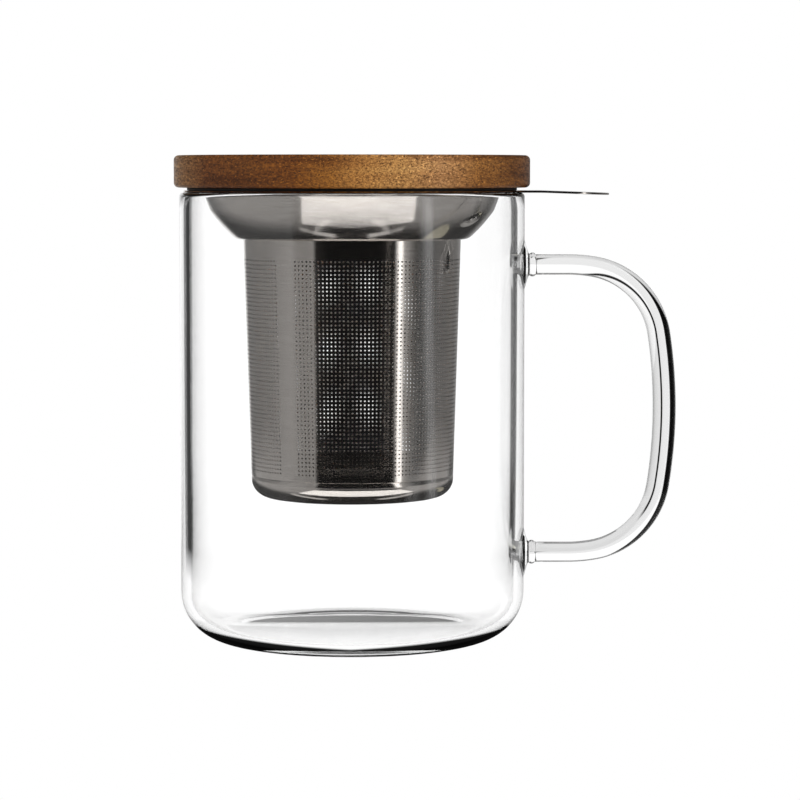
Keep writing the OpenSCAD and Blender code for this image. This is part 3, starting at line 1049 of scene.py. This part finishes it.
# %% Rings of light round the mug
def compass_light(owner, vector, stops, level):
    """Light and dark round the vertical axis: 0 degrees is towards the camera, 90 towards the handle."""
    parts = add_node(owner, "ShaderNodeSeparateXYZ", links={0: vector})
    back = add_node(
        owner, "ShaderNodeMath", settings={"operation": "MULTIPLY"}, inputs={1: -1.0}, links={0: parts.outputs["Y"]}
    )
    turn = add_node(
        owner,
        "ShaderNodeMath",
        settings={"operation": "ARCTAN2"},
        links={0: parts.outputs["X"], 1: back.outputs[0]},
    )
    half_turn = {"From Min": -math.pi, "From Max": math.pi}
    place = add_node(owner, "ShaderNodeMapRange", inputs=half_turn, links={"Value": turn.outputs[0]})
    ends_first = [stops[0], stops[-1], *stops[1:-1]]
    ramp = add_node(
        owner,
        "ShaderNodeValToRGB",
        links={"Fac": place.outputs["Result"]},
        stops=[(degrees / 360 + 0.5, brightness) for degrees, brightness in ends_first],
    )
    return add_node(
        owner,
        "ShaderNodeVectorMath",
        settings={"operation": "SCALE"},
        inputs={"Scale": level},
        links={0: ramp.outputs["Color"]},
    ).outputs["Vector"]


# Each ring is a row of (degrees, brightness).
MIRRORED = (
    (-180, 0.20), (-163, 0.50), (-150, 0.10), (-120, 0.10), (-99, 0.12), (-83, 0.15), (-66, 0.18), (-57, 0.16),
    (-46, 0.15), (-40, 0.18), (-37, 0.004), (46, 0.004), (49, 0.50), (50.5, 1.0), (54, 1.0), (56, 0.26),
    (64, 0.12), (71, 0.05), (78, 0.02), (86, 0.03), (93, 0.04), (100, 0.05), (112, 0.07), (145, 0.09),
    (165, 0.15), (180, 0.20),
)
THROUGH_BOTH_WALLS = (
    (-180, 0.86), (-174, 0.86), (-170, 1.0), (-158.5, 1.0), (-157, 0.0), (-125, 0.0), (-115, 0.30), (-90, 0.5),
    (-60, 0.8), (60, 0.8), (90, 0.5), (115, 0.30), (125, 0.0), (161.5, 0.0), (163, 1.0), (170, 1.0),
    (174, 0.86), (180, 0.86),
)
INSIDE_THE_WALL = (
    (-180, 1.0), (-157.5, 1.0), (-156, 0.0), (-125, 0.0), (-115, 0.15), (-57, 0.3), (-40, 0.3), (-37, 0.01),
    (46, 0.01), (50, 1.0), (57, 1.0), (59, 0.4), (65, 0.2), (115, 0.15), (125, 0.0), (150, 0.0),
    (151.5, 1.0), (180, 1.0),
)
THROUGH_THE_ROD = (
    (-180, 0.95), (-166, 0.95), (-164.5, 0.0), (-126, 0.0), (-120, 0.5), (-110, 0.7), (110, 0.45), (128, 0.6),
    (140, 0.78), (160, 0.85), (163, 0.9), (163.8, 0.0), (169, 0.0), (169.8, 0.9), (180, 0.95),
)
# The ring that each kind of ray sees, and how bright its white is.
RAY_KINDS = {
    "both_walls": (THROUGH_BOTH_WALLS, 1.4),
    "in_wall": (INSIDE_THE_WALL, 1.18),
    "deep_in_wall": (INSIDE_THE_WALL, 1.18),
    "rod_only": (THROUGH_THE_ROD, 1.18),
    "mirrored": (MIRRORED, 2.5),
    "on_the_glass": (MIRRORED, 2.5),
}
MIRRORED_MANY_TIMES = 1.3
SOFT_INSIDE_THE_MUG = 2.4


# %% Zones and patches
def zone(owner, *edges):
    """1 inside all the edges and 0 outside; an edge is (what is measured, where it is 0, where it is 1)."""
    inside = None
    for measure, empty, full in edges:
        edge = add_node(
            owner, "ShaderNodeMapRange", inputs={"From Min": empty, "From Max": full}, links={"Value": measure}
        ).outputs["Result"]
        if inside is not None:
            both = {0: inside, 1: edge}
            edge = add_node(owner, "ShaderNodeMath", settings={"operation": "MULTIPLY"}, links=both).outputs[0]
        inside = edge
    return inside


def grey(level):
    return (level, level, level)


def lay_over(owner, light, *patches):
    """Cover a light by patches, each given as (where, colour or another light)."""
    for where, patch in patches:
        flat = {socket: [*colour, 1] for socket, colour in ((6, light), (7, patch)) if isinstance(colour, tuple)}
        linked = {socket: source for socket, source in ((6, light), (7, patch)) if socket not in flat}
        light = add_node(
            owner, "ShaderNodeMix", settings={"data_type": "RGBA"}, inputs=flat, links={0: where, **linked}
        ).outputs[2]
    return light


# %% Which ray is asking
def studio_light(owner, vectors, patches, soft_level, shade=1.0):
    """The light from one direction for each kind of ray; the depths count what a ray has met."""
    path = add_node(owner, "ShaderNodeLightPath")
    mirrors, surfaces = path.outputs["Glossy Depth"], path.outputs["Transmission Depth"]
    light = {}
    for kind, (stops, level) in RAY_KINDS.items():
        ring = compass_light(owner, vectors[kind], stops, level * (shade if kind == "rod_only" else 1.0))
        light[kind] = lay_over(owner, ring, *patches[kind])
    on_steel = lay_over(owner, light["mirrored"], (zone(owner, (mirrors, 3, 4)), grey(MIRRORED_MANY_TIMES)))
    in_glass = lay_over(owner, light["in_wall"], (zone(owner, (mirrors, 1, 2)), light["deep_in_wall"]))
    mirrored = lay_over(
        owner,
        light["on_the_glass"],
        (zone(owner, (surfaces, 0, 1)), in_glass),
        (zone(owner, (surfaces, 3, 4)), on_steel),
    )
    inside_the_mug = zone(owner, (surfaces, 2, 3))
    return lay_over(
        owner,
        lay_over(owner, light["rod_only"], (inside_the_mug, light["both_walls"])),
        (zone(owner, (mirrors, 0, 1)), mirrored),
        (
            zone(owner, (path.outputs["Diffuse Depth"], 0, 1)),
            lay_over(owner, grey(soft_level), (inside_the_mug, grey(SOFT_INSIDE_THE_MUG))),
        ),
        (path.outputs["Is Camera Ray"], grey(1.0)),
    )


# %% [markdown]
# ### The table
# To the steel, the table gets darker near the mug and behind it, a painted shadow of the mug. In front lies a
# white card whose near edge is a shallow curve, with dark table beyond it. Right under the foot the table is
# black, a painted contact shadow; behind the handle's arm lies a painted shadow of the handle, and beside the
# foot two bright painted light streaks. All of it is measured in millimetres from the middle of the mug's foot.

# %% Places on the table
table = new_material("light_table_white")
BEIGE_SPOT = [90, 48, 0]
table_mm = add_node(
    table,
    "ShaderNodeVectorMath",
    settings={"operation": "SCALE"},
    inputs={"Scale": 1 / MM},
    links={0: add_node(table, "ShaderNodeTexCoord").outputs["Object"]},
).outputs["Vector"]
table_xy = add_node(table, "ShaderNodeSeparateXYZ", links={0: table_mm})
at = {
    "across": table_xy.outputs["X"],
    "along": table_xy.outputs["Y"],
    "distance": add_node(
        table, "ShaderNodeVectorMath", settings={"operation": "LENGTH"}, links={0: table_mm}
    ).outputs["Value"],
    "from_spot": add_node(
        table,
        "ShaderNodeVectorMath",
        settings={"operation": "DISTANCE"},
        inputs={1: BEIGE_SPOT},
        links={0: table_mm},
    ).outputs["Value"],
}
for measure, operation, *terms in (
    ("beside", "ABSOLUTE", "across"),
    ("towards_camera", "SUBTRACT", "distance", "along"),
    ("wide", "MULTIPLY", "distance", 1.45),
    ("openness", "MINIMUM", "towards_camera", "wide"),
    ("across_squared", "MULTIPLY", "across", "across"),
    ("card_edge", "MULTIPLY_ADD", "across_squared", -0.0034, "along"),
    ("card_left", "MULTIPLY_ADD", "along", -0.28, "across"),
    ("card_right", "MULTIPLY_ADD", "along", 0.5, "across"),
    ("from_foot", "MULTIPLY_ADD", "beside", -0.115, "distance"),
):
    at[measure] = add_node(
        table,
        "ShaderNodeMath",
        settings={"operation": operation},
        inputs={i: term for i, term in enumerate(terms) if not isinstance(term, str)},
        links={i: at[term] for i, term in enumerate(terms) if isinstance(term, str)},
    ).outputs["Value"]
# Painted shadow of the mug: to the steel the table is dark near the mug and behind it, and lighter out in front.
table_with_painted_mug_shadow = add_node(
    table,
    "ShaderNodeMapRange",
    settings={"interpolation_type": "SMOOTHSTEP"},
    inputs={"From Min": 54, "From Max": 120, "To Min": 0.035, "To Max": 0.48},
    links={"Value": at["openness"]},
).outputs["Result"]
print("measured on the table:", list(at))

# %% Patches on the table
near_table = zone(table, (at["distance"], 200, 130))
# Painted contact shadow: the table is black right under the mug's foot.
painted_foot_shadow = zone(table, (at["distance"], 43, 41))
card_outline = (
    (at["card_edge"], -43.8, -44.8),
    (at["card_left"], -50, -46),
    (at["card_right"], 62, 58),
    (at["distance"], 200, 130),
)
before_the_card = zone(table, (at["card_edge"], -221, -220), *card_outline)
white_card = zone(table, (at["card_edge"], -106, -105), *card_outline)
round_the_mug = zone(table, (at["distance"], 500, 300), (at["towards_camera"], 400, 330))
beige_spot = zone(table, (at["from_spot"], 24, 22))
# Two bright streaks beside the foot: painted light on the table.
painted_light_streaks = zone(
    table, (at["beside"], 14, 19), (at["beside"], 61, 56), (at["along"], -26, -24), (at["along"], -16, -18)
)
# Painted shadow of the handle's arm on the table.
painted_arm_shadow = zone(
    table, (at["across"], 43, 45), (at["across"], 84, 82), (at["along"], -27, -25), (at["along"], 24, 22)
)
# The black of the painted contact shadows under the foot.
PAINTED_SHADOW_BLACK = grey(0.01)
table_patches = {
    "mirrored": (
        (round_the_mug, table_with_painted_mug_shadow),
        (before_the_card, grey(0.05)),
        (white_card, grey(1.85)),
        (painted_light_streaks, grey(0.8)),
        (beige_spot, (0.45, 0.437, 0.351)),
    ),
    # The black ring where the foot's edge meets the table is a painted contact shadow under the corner's overhang.
    "in_wall": ((near_table, grey(1.2)), (zone(table, (at["from_foot"], 33.8, 32.8)), PAINTED_SHADOW_BLACK)),
    "deep_in_wall": ((near_table, grey(1.2)), (painted_foot_shadow, PAINTED_SHADOW_BLACK)),
    "both_walls": ((near_table, grey(1.3)),),
    "rod_only": (
        (zone(table, (at["distance"], 190, 140)), grey(0.76)),
        (painted_arm_shadow, grey(0.3)),
        (painted_foot_shadow, PAINTED_SHADOW_BLACK),
    ),
    "on_the_glass": ((near_table, grey(0.5)), (painted_foot_shadow, PAINTED_SHADOW_BLACK)),
}

# %% The table's glow
# Where the rings for each kind of ray have their middle.
ring_centres = dict.fromkeys(RAY_KINDS, [0, 0, 0])
ring_centres.update(dict.fromkeys(("both_walls", "in_wall", "deep_in_wall"), [0, -112, 0]), rod_only=[79, 0, 0])
table_vectors = {
    kind: add_node(
        table, "ShaderNodeVectorMath", settings={"operation": "SUBTRACT"}, inputs={1: centre}, links={0: table_mm}
    ).outputs["Vector"]
    for kind, centre in ring_centres.items()
}
ROD_SHADE = 0.8
table_light = studio_light(table, table_vectors, table_patches, 1.0, ROD_SHADE)
finish_material(table, add_node(table, "ShaderNodeEmission", links={"Color": table_light}))
table.cycles.emission_sampling = "NONE"

deselect_all()
bpy.ops.mesh.primitive_plane_add(size=6, location=(0, 0, -0.00002))
floor = bpy.context.object
floor.name = "light_table"
dress(floor, table)

# %% [markdown]
# ### The room
# The white wall ends a little above the mug, and the room above it is dark.

# %% World
world = bpy.data.worlds.new("studio")
bpy.context.scene.world = world
world.use_nodes = True
world.node_tree.nodes.clear()
direction = add_node(world, "ShaderNodeTexCoord").outputs["Generated"]
sky_part = add_node(world, "ShaderNodeSeparateXYZ", links={0: direction}).outputs
above_the_wall = zone(world, (sky_part["Y"], -0.001, 0.001), (sky_part["Z"], 0.18, 0.20))
sky_patches = {
    "both_walls": ((zone(world, (sky_part["Z"], -0.004, 0.004)), grey(1.2)),),
    "rod_only": ((zone(world, (sky_part["Z"], 0.62, 0.72)), grey(0.25)),),
}
for kind, level in (("mirrored", 0.05), ("on_the_glass", 0.05), ("in_wall", 0.6), ("deep_in_wall", 0.1)):
    sky_patches[kind] = ((above_the_wall, grey(level)),)
sky_light = studio_light(world, dict.fromkeys(RAY_KINDS, direction), sky_patches, 1.3)
sky = add_node(world, "ShaderNodeBackground", links={"Color": sky_light})
add_node(world, "ShaderNodeOutputWorld", links={"Surface": sky.outputs[0]})
world.cycles.sampling_method = "NONE"
print("nodes in the table and in the world:", len(table.node_tree.nodes), len(world.node_tree.nodes))
